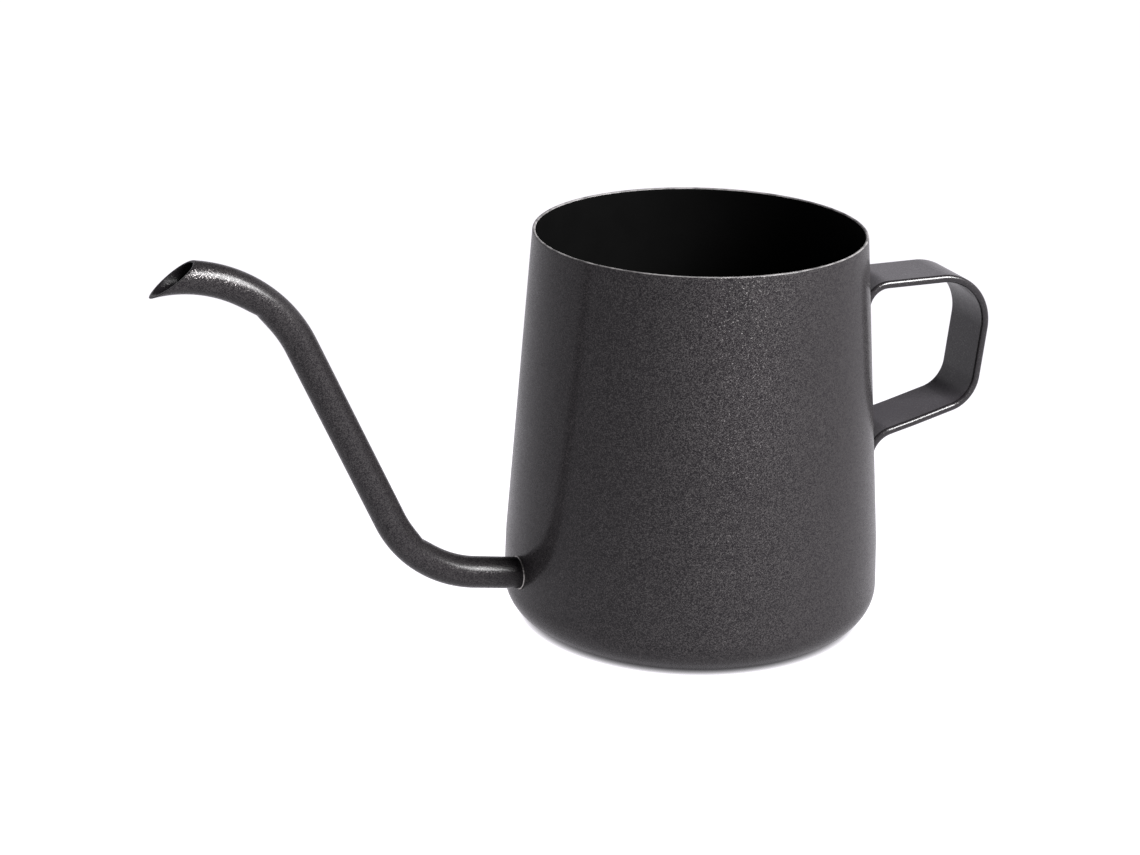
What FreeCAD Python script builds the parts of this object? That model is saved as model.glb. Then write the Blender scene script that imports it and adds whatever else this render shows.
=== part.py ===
import FreeCAD, Part
import math
import os
import Sketcher

# Small lidless pouring pot with a long swan-neck spout and a flat strap handle.
# The origin is the centre of the base on the table, +Z is up, the spout points along -X, the handle along +X.
# Lengths are millimetres and angles are degrees.

doc = FreeCAD.newDocument("pouring_pot")
Vec = FreeCAD.Vector

# Driving dimensions

DIMENSIONS = {
    "base_diameter": 85.0,
    "mouth_diameter": 74.0,
    "body_height": 89.5,
    "upper_taper": 4.19,
    "lower_taper": 1.66,
    "base_corner_radius": 8.0,
    "taper_blend_radius": 30.0,
    "wall_thickness": 0.7,
    "rim_chamfer": 0.2,
    "hollow_overrun": 1.0,
    "foot_inner_diameter": 60.0,
    "foot_recess_depth": 1.2,
    "foot_step_width": 2.4,
    "tube_diameter": 7.1,
    "tube_wall": 0.5,
    "spout_root_radius": 40.0,
    "spout_root_height": 13.55,
    "spout_root_angle": 9.0,
    "spout_root_run": 12.7,
    "spout_lower_bend": 26.4,
    "spout_rise_angle": 65.2,
    "spout_rise_length": 46.2,
    "spout_upper_bend": 30.3,
    "spout_blank_reach": 128.0,
    "spout_hole_depth": 60.0,
    "root_band_height": 12.0,
    "mouth_cut_reach": 118.6,
    "mouth_cut_height": 90.0,
    "mouth_cut_angle": 35.7,
    "mouth_cut_span": 50.0,
    "mouth_cut_width": 20.0,
    "mouth_cut_margin": 10.0,
    "weld_leg": 0.45,
    "weld_bevel": 0.16,
    "weld_backing": 3.0,
    "strap_width": 14.8,
    "strap_thickness": 1.8,
    "upper_arm_height": 74.45,
    "upper_arm_start": 46.5,
    "upper_root_bend": 5.2,
    "upper_tab_height": 69.0,
    "handle_reach": 70.7,
    "handle_upper_bend": 11.6,
    "handle_lower_bend": 8.0,
    "grip_lean": 6.56,
    "lower_arm_slope": 14.4,
    "lower_arm_start": 48.5,
    "lower_arm_height": 39.57,
    "lower_root_bend": 6.4,
    "lower_tab_height": 32.8,
    "arm_overlap": 1.5,
    "tab_turn": 26.0,
    "tab_trim_margin": 6.0,
    "tab_trim_rise": 5.0,
    "tab_trim_depth": 52.5,
}

sheet = doc.addObject("Spreadsheet::Sheet", "Dimensions")
sheet.Label = "driving dimensions"
for row, (alias, number) in enumerate(DIMENSIONS.items(), start=1):
    sheet.set("A%d" % row, alias)
    sheet.set("B%d" % row, str(number))
    sheet.setAlias("B%d" % row, alias)
doc.recompute()


def driven(text):
    """Expression text with every driving dimension named in braces looked up in the sheet."""
    for alias in DIMENSIONS:
        text = text.replace("{" + alias + "}", "Dimensions." + alias)
    return text


def size(alias):
    return DIMENSIONS[alias]


# Sketch helpers: each sketch lies on a plane of its own body, and its sizes are bound to the sheet.

START = 1
END = 2
CENTRE = 3
LEAST_CUT = 1e-3
SAME_HEIGHT = 1e-6


def new_body(label):
    body = doc.addObject("PartDesign::Body", label)
    body.Label = label
    return body


def new_sketch(body, name, role, turn_axis=None):
    sketch = body.newObject("Sketcher::SketchObject", name)
    plane = [item for item in body.Origin.OriginFeatures if item.Role == role][0]
    sketch.AttachmentSupport = [(plane, "")]
    sketch.MapMode = "FlatFace"
    if turn_axis is not None:
        # One degree gives the turn its axis; its angle then comes from the sheet.
        sketch.AttachmentOffset = FreeCAD.Placement(Vec(0, 0, 0), FreeCAD.Rotation(turn_axis, 1.0))
    return sketch


def xy(point):
    return (point.x, point.y)


def line(sketch, first, last):
    return sketch.addGeometry(Part.LineSegment(Vec(*first, 0), Vec(*last, 0)), False)


def arc(sketch, centre, radius, begin, finish):
    circle = Part.Circle(Vec(*centre, 0), Vec(0, 0, 1), radius)
    return sketch.addGeometry(Part.ArcOfCircle(circle, math.radians(begin), math.radians(finish)), False)


def polygon(sketch, corners):
    """Closed outline of straight lines; returns the line numbers in order."""
    sides = [line(sketch, corners[i - 1], corners[i]) for i in range(len(corners))]
    for i in range(len(sides)):
        join(sketch, sides[i - 1], END, sides[i], START)
    return sides


def join(sketch, one, one_end, two, two_end):
    sketch.addConstraint(Sketcher.Constraint("Coincident", one, one_end, two, two_end))


def smooth(sketch, one, one_end, two, two_end):
    sketch.addConstraint(Sketcher.Constraint("Tangent", one, one_end, two, two_end))


def rule(sketch, kind, *where):
    sketch.addConstraint(Sketcher.Constraint(kind, *where))


def bind(sketch, number, name, text):
    sketch.renameConstraint(number, name)
    sketch.setExpression("Constraints." + name, driven(text))


def set_x(sketch, item, end, name, text):
    """Distance of a point from the axis; the text gives the positive length on either side."""
    x = sketch.getPoint(item, end).x
    if x < 0:
        number = sketch.addConstraint(Sketcher.Constraint("DistanceX", item, end, -1, 1, -x))
    else:
        number = sketch.addConstraint(Sketcher.Constraint("DistanceX", -1, 1, item, end, x))
    bind(sketch, number, name, text)


def set_y(sketch, item, end, name, text):
    y = sketch.getPoint(item, end).y
    number = sketch.addConstraint(Sketcher.Constraint("DistanceY", -1, 1, item, end, y))
    bind(sketch, number, name, text)


def set_radius(sketch, item, name, text):
    number = sketch.addConstraint(Sketcher.Constraint("Radius", item, sketch.Geometry[item].Radius))
    bind(sketch, number, name, text)


def set_angle(sketch, item, name, text):
    """Direction of a line from its start to its end, measured from the sketch's first axis."""
    along = sketch.getPoint(item, END) - sketch.getPoint(item, START)
    number = sketch.addConstraint(Sketcher.Constraint("Angle", item, math.atan2(along.y, along.x)))
    bind(sketch, number, name, text)


def set_length(sketch, item, name, text):
    along = sketch.getPoint(item, END) - sketch.getPoint(item, START)
    number = sketch.addConstraint(Sketcher.Constraint("Distance", item, along.Length))
    bind(sketch, number, name, text)


def cuts(body, feature):
    """Recomputes and makes sure a cutting feature really took material away."""
    doc.recompute()
    before = feature.BaseFeature.Shape.Volume
    if feature.Shape.Volume >= before - LEAST_CUT:
        raise RuntimeError(feature.Name + " removed nothing from " + body.Label)


# The wall's outline: a round base corner, a nearly upright foot, a soft blend and the straight taper.

LOWER = math.radians(size("lower_taper"))
UPPER = math.radians(size("upper_taper"))
BASE_R = size("base_diameter") / 2
MOUTH_R = size("mouth_diameter") / 2
CORNER_R = size("base_corner_radius")
BLEND_R = size("taper_blend_radius")
WALL = size("wall_thickness")
HEIGHT = size("body_height")


def taper_radius(height):
    """Outside radius of the straight taper at a height."""
    return MOUTH_R + (HEIGHT - height) * math.tan(UPPER)


def taper_radius_text(height_text):
    return "{mouth_diameter} / 2 + ({body_height} - " + height_text + ") * tan({upper_taper})"


def foot_radius(height):
    """Outside radius of the nearly upright foot of the wall at a height."""
    return BASE_R - CORNER_R + CORNER_R / math.cos(LOWER) - (height - CORNER_R) * math.tan(LOWER)


def foot_radius_text(height_text):
    corner = "{base_diameter} / 2 - {base_corner_radius} + {base_corner_radius} / cos({lower_taper})"
    return corner + " - (" + height_text + " - {base_corner_radius}) * tan({lower_taper})"


# Body: one drawn cup whose wall is drawn in towards the mouth; the underside is recessed inside a foot ring.

kettle_body = new_body("kettle_body")


def cup_outline(sketch, inset, inset_text, top, top_text):
    """Half section of the cup from the axis round to the rim, moved inwards by the inset."""
    recess = size("foot_recess_depth") + inset
    foot = size("foot_inner_diameter") / 2
    step = foot - size("foot_step_width")
    corner = Vec(BASE_R - CORNER_R, CORNER_R, 0)
    low_out = Vec(math.cos(LOWER), math.sin(LOWER), 0)
    high_out = Vec(math.cos(UPPER), math.sin(UPPER), 0)
    # The blend's centre keeps its radius from the foot of the wall and from the taper.
    low_gap = low_out.dot(corner) + CORNER_R - BLEND_R
    high_gap = high_out.dot(Vec(MOUTH_R, HEIGHT, 0)) - BLEND_R
    cross = low_out.x * high_out.y - low_out.y * high_out.x
    blend = Vec((low_gap * high_out.y - high_gap * low_out.y) / cross,
                (low_out.x * high_gap - high_out.x * low_gap) / cross, 0)
    wall_foot = corner + low_out * (CORNER_R - inset)
    blend_low = blend + low_out * (BLEND_R - inset)
    blend_high = blend + high_out * (BLEND_R - inset)
    rim = (taper_radius(top) - inset / math.cos(UPPER), top)
    panel = line(sketch, (0, recess), (step, recess))
    riser = line(sketch, (step, recess), (foot, inset))
    ring = line(sketch, (foot, inset), (corner.x, inset))
    knuckle = arc(sketch, xy(corner), CORNER_R - inset, -90, size("lower_taper"))
    upright = line(sketch, xy(wall_foot), xy(blend_low))
    turn = arc(sketch, xy(blend), BLEND_R - inset, size("lower_taper"), size("upper_taper"))
    side = line(sketch, xy(blend_high), rim)
    lid_line = line(sketch, rim, (0, top))
    axis = line(sketch, (0, top), (0, recess))
    join(sketch, panel, END, riser, START)
    join(sketch, riser, END, ring, START)
    smooth(sketch, ring, END, knuckle, START)
    smooth(sketch, knuckle, END, upright, START)
    smooth(sketch, upright, END, turn, START)
    smooth(sketch, turn, END, side, START)
    join(sketch, side, END, lid_line, START)
    join(sketch, lid_line, END, axis, START)
    join(sketch, axis, END, panel, START)
    for level in (panel, ring, lid_line):
        rule(sketch, "Horizontal", level)
    rule(sketch, "Vertical", axis)
    rule(sketch, "PointOnObject", panel, START, -2)
    set_y(sketch, panel, START, "panel_height", "{foot_recess_depth} + " + inset_text)
    set_x(sketch, panel, END, "step_radius", "{foot_inner_diameter} / 2 - {foot_step_width}")
    set_x(sketch, ring, START, "foot_radius", "{foot_inner_diameter} / 2")
    set_radius(sketch, knuckle, "corner_radius", "{base_corner_radius} - " + inset_text)
    set_x(sketch, knuckle, CENTRE, "corner_centre_x", "{base_diameter} / 2 - {base_corner_radius}")
    set_y(sketch, knuckle, CENTRE, "corner_centre_z", "{base_corner_radius}")
    set_angle(sketch, upright, "lower_taper", "90 + {lower_taper}")
    set_radius(sketch, turn, "blend_radius", "{taper_blend_radius} - " + inset_text)
    set_angle(sketch, side, "upper_taper", "90 + {upper_taper}")
    inset_slant = " - " + inset_text + " / cos({upper_taper})"
    set_x(sketch, side, END, "rim_radius", taper_radius_text(top_text) + inset_slant)
    set_y(sketch, side, END, "rim_height", top_text)


outside = new_sketch(kettle_body, "cup_outside", "XZ_Plane")
cup_outline(outside, 0.0, "0", HEIGHT, "{body_height}")
cup = kettle_body.newObject("PartDesign::Revolution", "cup")
cup.Profile = outside
cup.ReferenceAxis = (outside, ["V_Axis"])
cup.Angle = 360
doc.recompute()

inside = new_sketch(kettle_body, "cup_inside", "XZ_Plane")
cup_outline(inside, WALL, "{wall_thickness}", HEIGHT + size("hollow_overrun"),
            "({body_height} + {hollow_overrun})")
hollow = kettle_body.newObject("PartDesign::Groove", "hollow")
hollow.Profile = inside
hollow.ReferenceAxis = (inside, ["V_Axis"])
hollow.Angle = 360
cuts(kettle_body, hollow)

rim_edges = []
for number, edge in enumerate(hollow.Shape.Edges, start=1):
    lowest = edge.BoundBox.ZMin
    if abs(lowest - HEIGHT) < SAME_HEIGHT:
        rim_edges.append("Edge%d" % number)
rim = kettle_body.newObject("PartDesign::Chamfer", "broken_rim")
rim.Base = (hollow, rim_edges)
rim.setExpression("Size", driven("{rim_chamfer}"))
doc.recompute()

# The hole for the spout follows the tube's own slope, so its sketch is tipped by the root angle.

ROOT_ANGLE = size("spout_root_angle")
AXIS_HEIGHT_TEXT = "{spout_root_height} - {spout_root_radius} * tan({spout_root_angle})"


def tipped_sketch(body, name, along_text, height_text):
    """Sketch square to the spout's root, standing on the given point of the pot's mid plane."""
    sketch = new_sketch(body, name, "YZ_Plane", Vec(1, 0, 0))
    sketch.setExpression("AttachmentOffset.Base.y", driven(height_text))
    sketch.setExpression("AttachmentOffset.Base.z", driven(along_text))
    sketch.setExpression("AttachmentOffset.Rotation.Angle", driven("{spout_root_angle}"))
    return sketch


def round_outline(sketch, name, diameter, text):
    circle = Part.Circle(Vec(0, 0, 0), Vec(0, 0, 1), diameter / 2)
    item = sketch.addGeometry(circle, False)
    join(sketch, item, CENTRE, -1, START)
    set_radius(sketch, item, name, text)


spout_hole_outline = tipped_sketch(kettle_body, "spout_hole_outline", "0", AXIS_HEIGHT_TEXT)
round_outline(spout_hole_outline, "hole_radius", size("tube_diameter"), "{tube_diameter} / 2")
spout_hole = kettle_body.newObject("PartDesign::Pocket", "spout_hole")
spout_hole.Profile = spout_hole_outline
spout_hole.Type = "Length"
spout_hole.setExpression("Length", driven("{spout_hole_depth}"))
cuts(kettle_body, spout_hole)

# Spout: one bent tube, flush with the inside of the wall, its mouth cut off at a slant.

spout_tube = new_body("spout_tube")
bend_path = new_sketch(spout_tube, "bend_path", "XZ_Plane")


def outward(angle):
    return Vec(-math.cos(math.radians(angle)), math.sin(math.radians(angle)), 0)


def upward(angle):
    return Vec(math.sin(math.radians(angle)), math.cos(math.radians(angle)), 0)


rise_angle = size("spout_rise_angle")
lower_r = size("spout_lower_bend")
upper_r = size("spout_upper_bend")
root = Vec(-size("spout_root_radius"), size("spout_root_height"), 0)
run_end = root + outward(ROOT_ANGLE) * size("spout_root_run")
lower_centre = run_end + upward(ROOT_ANGLE) * lower_r
rise_foot = lower_centre - upward(rise_angle) * lower_r
rise_top = rise_foot + outward(rise_angle) * size("spout_rise_length")
upper_centre = rise_top - upward(rise_angle) * upper_r
blank_angle = 90 + math.degrees(math.asin((size("spout_blank_reach") + upper_centre.x) / upper_r))
root_run = line(bend_path, xy(root), xy(run_end))
lower_bend = arc(bend_path, xy(lower_centre), lower_r, 270 - rise_angle, 270 - ROOT_ANGLE)
rise = line(bend_path, xy(rise_foot), xy(rise_top))
upper_bend = arc(bend_path, xy(upper_centre), upper_r, 90 - rise_angle, blank_angle)
smooth(bend_path, root_run, END, lower_bend, END)
smooth(bend_path, lower_bend, START, rise, START)
smooth(bend_path, rise, END, upper_bend, START)
set_x(bend_path, root_run, START, "root_radius", "{spout_root_radius}")
set_y(bend_path, root_run, START, "root_height", "{spout_root_height}")
set_angle(bend_path, root_run, "root_angle", "180 - {spout_root_angle}")
set_length(bend_path, root_run, "root_run", "{spout_root_run}")
set_radius(bend_path, lower_bend, "lower_bend", "{spout_lower_bend}")
set_angle(bend_path, rise, "rise_angle", "180 - {spout_rise_angle}")
set_length(bend_path, rise, "rise_length", "{spout_rise_length}")
set_radius(bend_path, upper_bend, "upper_bend", "{spout_upper_bend}")
set_x(bend_path, upper_bend, END, "blank_reach", "{spout_blank_reach}")

tube_section = tipped_sketch(spout_tube, "tube_section", "-{spout_root_radius}", "{spout_root_height}")
round_outline(tube_section, "outer_radius", size("tube_diameter"), "{tube_diameter} / 2")
round_outline(tube_section, "bore_radius", size("tube_diameter") - 2 * size("tube_wall"),
              "{tube_diameter} / 2 - {tube_wall}")
doc.recompute()
tube = spout_tube.newObject("PartDesign::AdditivePipe", "tube")
tube.Profile = tube_section
tube.Spine = (bend_path, [])
tube.Mode = "Standard"
doc.recompute()


def wall_backing(sketch, inset, inset_text):
    """Half section of the band behind the foot of the wall, moved inwards by the inset."""
    low_z = CORNER_R
    high_z = CORNER_R + size("root_band_height")
    high_text = "({base_corner_radius} + {root_band_height})"
    slant = inset / math.cos(LOWER)
    sides = polygon(sketch, [(0, low_z), (foot_radius(low_z) - slant, low_z),
                             (foot_radius(high_z) - slant, high_z), (0, high_z)])
    rule(sketch, "Horizontal", sides[1])
    rule(sketch, "Horizontal", sides[3])
    rule(sketch, "PointOnObject", sides[0], START, -2)
    rule(sketch, "PointOnObject", sides[0], END, -2)
    inset_slant = " - " + inset_text + " / cos({lower_taper})"
    set_x(sketch, sides[1], END, "low_radius", foot_radius_text("{base_corner_radius}") + inset_slant)
    set_y(sketch, sides[1], END, "low_height", "{base_corner_radius}")
    set_x(sketch, sides[2], END, "high_radius", foot_radius_text(high_text) + inset_slant)
    set_y(sketch, sides[2], END, "high_height", high_text)


root_trim_outline = new_sketch(spout_tube, "root_trim_outline", "XZ_Plane")
wall_backing(root_trim_outline, WALL, "{wall_thickness}")
root_trim = spout_tube.newObject("PartDesign::Groove", "root_trim")
root_trim.Profile = root_trim_outline
root_trim.ReferenceAxis = (root_trim_outline, ["V_Axis"])
root_trim.Angle = 360
cuts(spout_tube, root_trim)

mouth_outline = new_sketch(spout_tube, "mouth_outline", "XZ_Plane")
slant = math.radians(size("mouth_cut_angle"))
cut_point = Vec(-size("mouth_cut_reach"), size("mouth_cut_height"), 0)
cut_step = Vec(math.cos(slant), math.sin(slant), 0) * (size("mouth_cut_span") / 2)
cut_low = cut_point - cut_step
cut_high = cut_point + cut_step
far_left = cut_low.x - size("mouth_cut_margin")
mouth_sides = polygon(mouth_outline, [xy(cut_low), xy(cut_high),
                                      (far_left, cut_high.y), (far_left, cut_low.y)])
slant_side = mouth_sides[1]
rule(mouth_outline, "Horizontal", mouth_sides[2])
rule(mouth_outline, "Vertical", mouth_sides[3])
rule(mouth_outline, "Horizontal", mouth_sides[0])
cut_low_text = "{mouth_cut_reach} + {mouth_cut_span} / 2 * cos({mouth_cut_angle})"
set_x(mouth_outline, slant_side, START, "cut_low_x", cut_low_text)
set_y(mouth_outline, slant_side, START, "cut_low_y",
      "{mouth_cut_height} - {mouth_cut_span} / 2 * sin({mouth_cut_angle})")
set_angle(mouth_outline, slant_side, "cut_slant", "{mouth_cut_angle}")
set_length(mouth_outline, slant_side, "cut_span", "{mouth_cut_span}")
set_x(mouth_outline, mouth_sides[3], START, "cut_left", cut_low_text + " + {mouth_cut_margin}")
mouth_cut = spout_tube.newObject("PartDesign::Pocket", "mouth_cut")
mouth_cut.Profile = mouth_outline
mouth_cut.Type = "Length"
mouth_cut.Midplane = True
mouth_cut.setExpression("Length", driven("{mouth_cut_width}"))
cuts(spout_tube, mouth_cut)

# Weld bead: a thin bare ring in the corner between the tube and the wall.

spout_weld = new_body("spout_weld")
leg = size("weld_leg")
bevel = size("weld_bevel")
backing = size("weld_backing")
tube_r = size("tube_diameter") / 2
bead_outline = new_sketch(spout_weld, "bead_outline", "XZ_Plane", Vec(0, 0, 1))
bead_outline.setExpression("AttachmentOffset.Base.x", driven("-{base_diameter} / 2"))
bead_rise = "({base_diameter} / 2 - {spout_root_radius}) * tan({spout_root_angle})"
bead_outline.setExpression("AttachmentOffset.Base.y", driven("{spout_root_height} + " + bead_rise))
bead_outline.setExpression("AttachmentOffset.Rotation.Angle", driven("-{spout_root_angle}"))
bead_sides = polygon(bead_outline, [(-leg, tube_r), (backing, tube_r), (backing, tube_r + leg),
                                    (-bevel, tube_r + leg), (-leg, tube_r + bevel)])
rule(bead_outline, "Horizontal", bead_sides[1])
rule(bead_outline, "Vertical", bead_sides[2])
rule(bead_outline, "Horizontal", bead_sides[3])
rule(bead_outline, "Vertical", bead_sides[0])
set_x(bead_outline, bead_sides[0], END, "bead_front", "{weld_leg}")
set_y(bead_outline, bead_sides[0], END, "bead_inner", "{tube_diameter} / 2")
set_x(bead_outline, bead_sides[2], START, "bead_back", "{weld_backing}")
set_y(bead_outline, bead_sides[3], START, "bead_outer", "{tube_diameter} / 2 + {weld_leg}")
set_x(bead_outline, bead_sides[3], END, "bevel_x", "{weld_bevel}")
set_y(bead_outline, bead_sides[0], START, "bevel_y", "{tube_diameter} / 2 + {weld_bevel}")
bead = spout_weld.newObject("PartDesign::Revolution", "bead")
bead.Profile = bead_outline
bead.ReferenceAxis = (bead_outline, ["H_Axis"])
bead.Angle = 360
doc.recompute()
bead_trim_outline = new_sketch(spout_weld, "bead_trim_outline", "XZ_Plane")
wall_backing(bead_trim_outline, 0.0, "0")
bead_trim = spout_weld.newObject("PartDesign::Groove", "bead_trim")
bead_trim.Profile = bead_trim_outline
bead_trim.ReferenceAxis = (bead_trim_outline, ["V_Axis"])
bead_trim.Angle = 360
cuts(spout_weld, bead_trim)

# Handle: one flat strap bent to a D, with a round-ended tab at each end that follows the wall.

handle_strap = new_body("handle_strap")
half = size("strap_thickness") / 2
lean = math.radians(size("grip_lean"))
slope = math.radians(size("lower_arm_slope"))
arm_z = size("upper_arm_height")
top_r = size("handle_upper_bend")
low_r = size("handle_lower_bend")
top_centre = Vec(size("handle_reach") - top_r - half, arm_z - top_r, 0)
grip_normal = Vec(math.cos(lean), -math.sin(lean), 0)
arm_normal = Vec(math.sin(slope), -math.cos(slope), 0)
lower_end = Vec(size("lower_arm_start") - size("arm_overlap"),
                size("lower_arm_height") - size("arm_overlap") * math.tan(slope), 0)
# The lower bend's centre lies at its radius from the middle of the grip and from the middle of the lower arm.
grip_offset = grip_normal.dot(top_centre) + top_r - low_r
arm_offset = arm_normal.dot(lower_end) - low_r
spread = grip_normal.x * arm_normal.y - grip_normal.y * arm_normal.x
low_centre = Vec((grip_offset * arm_normal.y - arm_offset * grip_normal.y) / spread,
                 (grip_normal.x * arm_offset - arm_normal.x * grip_offset) / spread, 0)

loop_outline = new_sketch(handle_strap, "loop_outline", "XZ_Plane")
lean_deg = size("grip_lean")
slope_deg = size("lower_arm_slope")
start_x = size("upper_arm_start")
top_face = line(loop_outline, (start_x, arm_z + half), (top_centre.x, arm_z + half))
top_out = arc(loop_outline, xy(top_centre), top_r + half, -lean_deg, 90)
grip_out = line(loop_outline, xy(top_centre + grip_normal * (top_r + half)),
                xy(low_centre + grip_normal * (low_r + half)))
low_out = arc(loop_outline, xy(low_centre), low_r + half, slope_deg - 90, -lean_deg)
under_face = line(loop_outline, xy(low_centre + arm_normal * (low_r + half)),
                  xy(lower_end + arm_normal * half))
lower_cap = line(loop_outline, xy(lower_end + arm_normal * half), xy(lower_end - arm_normal * half))
over_face = line(loop_outline, xy(lower_end - arm_normal * half),
                 xy(low_centre + arm_normal * (low_r - half)))
low_in = arc(loop_outline, xy(low_centre), low_r - half, slope_deg - 90, -lean_deg)
grip_in = line(loop_outline, xy(low_centre + grip_normal * (low_r - half)),
               xy(top_centre + grip_normal * (top_r - half)))
top_in = arc(loop_outline, xy(top_centre), top_r - half, -lean_deg, 90)
top_under = line(loop_outline, (top_centre.x, arm_z - half), (start_x, arm_z - half))
upper_cap = line(loop_outline, (start_x, arm_z - half), (start_x, arm_z + half))
smooth(loop_outline, top_face, END, top_out, END)
smooth(loop_outline, top_out, START, grip_out, START)
smooth(loop_outline, grip_out, END, low_out, END)
smooth(loop_outline, low_out, START, under_face, START)
join(loop_outline, under_face, END, lower_cap, START)
join(loop_outline, lower_cap, END, over_face, START)
smooth(loop_outline, over_face, END, low_in, START)
smooth(loop_outline, low_in, END, grip_in, START)
smooth(loop_outline, grip_in, END, top_in, START)
smooth(loop_outline, top_in, END, top_under, START)
join(loop_outline, top_under, END, upper_cap, START)
join(loop_outline, upper_cap, END, top_face, START)
join(loop_outline, top_in, CENTRE, top_out, CENTRE)
join(loop_outline, low_in, CENTRE, low_out, CENTRE)
rule(loop_outline, "Horizontal", top_face)
rule(loop_outline, "Horizontal", top_under)
rule(loop_outline, "Parallel", over_face, under_face)
rule(loop_outline, "Vertical", upper_cap)
rule(loop_outline, "Perpendicular", lower_cap, under_face)
set_x(loop_outline, top_face, START, "upper_arm_start", "{upper_arm_start}")
set_y(loop_outline, top_face, START, "upper_arm_top", "{upper_arm_height} + {strap_thickness} / 2")
set_radius(loop_outline, top_out, "upper_bend_outside", "{handle_upper_bend} + {strap_thickness} / 2")
set_radius(loop_outline, top_in, "upper_bend_inside", "{handle_upper_bend} - {strap_thickness} / 2")
set_radius(loop_outline, low_out, "lower_bend_outside", "{handle_lower_bend} + {strap_thickness} / 2")
set_radius(loop_outline, low_in, "lower_bend_inside", "{handle_lower_bend} - {strap_thickness} / 2")
set_x(loop_outline, top_out, CENTRE, "upper_bend_centre",
      "{handle_reach} - {handle_upper_bend} - {strap_thickness} / 2")
set_angle(loop_outline, grip_out, "grip_lean", "-90 - {grip_lean}")
set_angle(loop_outline, under_face, "lower_arm_slope", "{lower_arm_slope} - 180")
lower_end_x_text = "{lower_arm_start} - {arm_overlap} + {strap_thickness} / 2 * sin({lower_arm_slope})"
lower_end_drop = "{arm_overlap} * tan({lower_arm_slope}) - {strap_thickness} / 2 * cos({lower_arm_slope})"
set_x(loop_outline, under_face, END, "lower_arm_end_x", lower_end_x_text)
set_y(loop_outline, under_face, END, "lower_arm_end_z", "{lower_arm_height} - " + lower_end_drop)
loop = handle_strap.newObject("PartDesign::Pad", "loop")
loop.Profile = loop_outline
loop.Type = "Length"
loop.Midplane = True
loop.setExpression("Length", driven("{strap_width}"))
doc.recompute()


def tab_outline(sketch, arm_point, arm_slope, bend_r, end_z, texts):
    """Side outline of one end of the strap: a stub of the arm, the bend and the tab lying on the wall."""
    thick = size("strap_thickness")
    along = Vec(math.cos(arm_slope), math.sin(arm_slope), 0)
    over = Vec(-along.y, along.x, 0)
    down = Vec(math.sin(UPPER), -math.cos(UPPER), 0)
    away = Vec(math.cos(UPPER), math.sin(UPPER), 0)
    tip = Vec(taper_radius(end_z), end_z, 0)
    outer_r = bend_r + half
    inner_r = bend_r - half
    # The bend's centre lies below the arm and outside the tab.
    arm_gap = over.dot(arm_point) + half - outer_r
    wall_gap = away.dot(tip) + outer_r
    cross = over.x * away.y - over.y * away.x
    centre = Vec((arm_gap * away.y - wall_gap * over.y) / cross,
                 (over.x * wall_gap - away.x * arm_gap) / cross, 0)
    arm_deg = 90 + math.degrees(arm_slope)
    wall_deg = 180 + size("upper_taper")
    arm_top = line(sketch, xy(arm_point + over * half), xy(centre + over * outer_r))
    back_bend = arc(sketch, xy(centre), outer_r, arm_deg, wall_deg)
    back = line(sketch, xy(centre - away * outer_r), xy(tip))
    tab_end = line(sketch, xy(tip), xy(tip + away * thick))
    front = line(sketch, xy(tip + away * thick), xy(centre - away * inner_r))
    front_bend = arc(sketch, xy(centre), inner_r, arm_deg, wall_deg)
    arm_under = line(sketch, xy(centre + over * inner_r), xy(arm_point - over * half))
    cap = line(sketch, xy(arm_point - over * half), xy(arm_point + over * half))
    smooth(sketch, arm_top, END, back_bend, START)
    smooth(sketch, back_bend, END, back, START)
    join(sketch, back, END, tab_end, START)
    join(sketch, tab_end, END, front, START)
    smooth(sketch, front, END, front_bend, END)
    smooth(sketch, front_bend, START, arm_under, START)
    join(sketch, arm_under, END, cap, START)
    join(sketch, cap, END, arm_top, START)
    join(sketch, back_bend, CENTRE, front_bend, CENTRE)
    rule(sketch, "Perpendicular", cap, arm_top)
    rule(sketch, "Perpendicular", tab_end, back)
    rule(sketch, "Parallel", front, back)
    rule(sketch, "Parallel", arm_under, arm_top)
    set_x(sketch, arm_top, START, "arm_x", texts["arm_x"])
    set_y(sketch, arm_top, START, "arm_z", texts["arm_z"])
    set_angle(sketch, arm_top, "arm_slope", texts["arm_slope"])
    set_radius(sketch, back_bend, "bend_outside", texts["bend"] + " + {strap_thickness} / 2")
    set_radius(sketch, front_bend, "bend_inside", texts["bend"] + " - {strap_thickness} / 2")
    set_angle(sketch, back, "wall_taper", "{upper_taper} - 90")
    set_x(sketch, back, END, "tab_end_x", taper_radius_text(texts["end_z"]))
    set_y(sketch, back, END, "tab_end_z", texts["end_z"])


def tab_sweep(name, outline):
    """Turns a tab's side outline about the pot's axis, so the tab hugs the round wall."""
    sweep = handle_strap.newObject("PartDesign::Revolution", name)
    sweep.Profile = outline
    sweep.ReferenceAxis = (outline, ["V_Axis"])
    sweep.Midplane = True
    sweep.setExpression("Angle", driven("{tab_turn}"))
    doc.recompute()


upper_end_z = size("upper_tab_height") - size("strap_width") / 2
upper_tab_outline = new_sketch(handle_strap, "upper_tab_outline", "XZ_Plane")
tab_outline(upper_tab_outline, Vec(start_x + size("arm_overlap"), arm_z, 0), 0.0, size("upper_root_bend"),
            upper_end_z, {
                "arm_x": "{upper_arm_start} + {arm_overlap}",
                "arm_z": "{upper_arm_height} + {strap_thickness} / 2",
                "arm_slope": "180",
                "bend": "{upper_root_bend}",
                "end_z": "({upper_tab_height} - {strap_width} / 2)",
            })
tab_sweep("upper_tab", upper_tab_outline)

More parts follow.
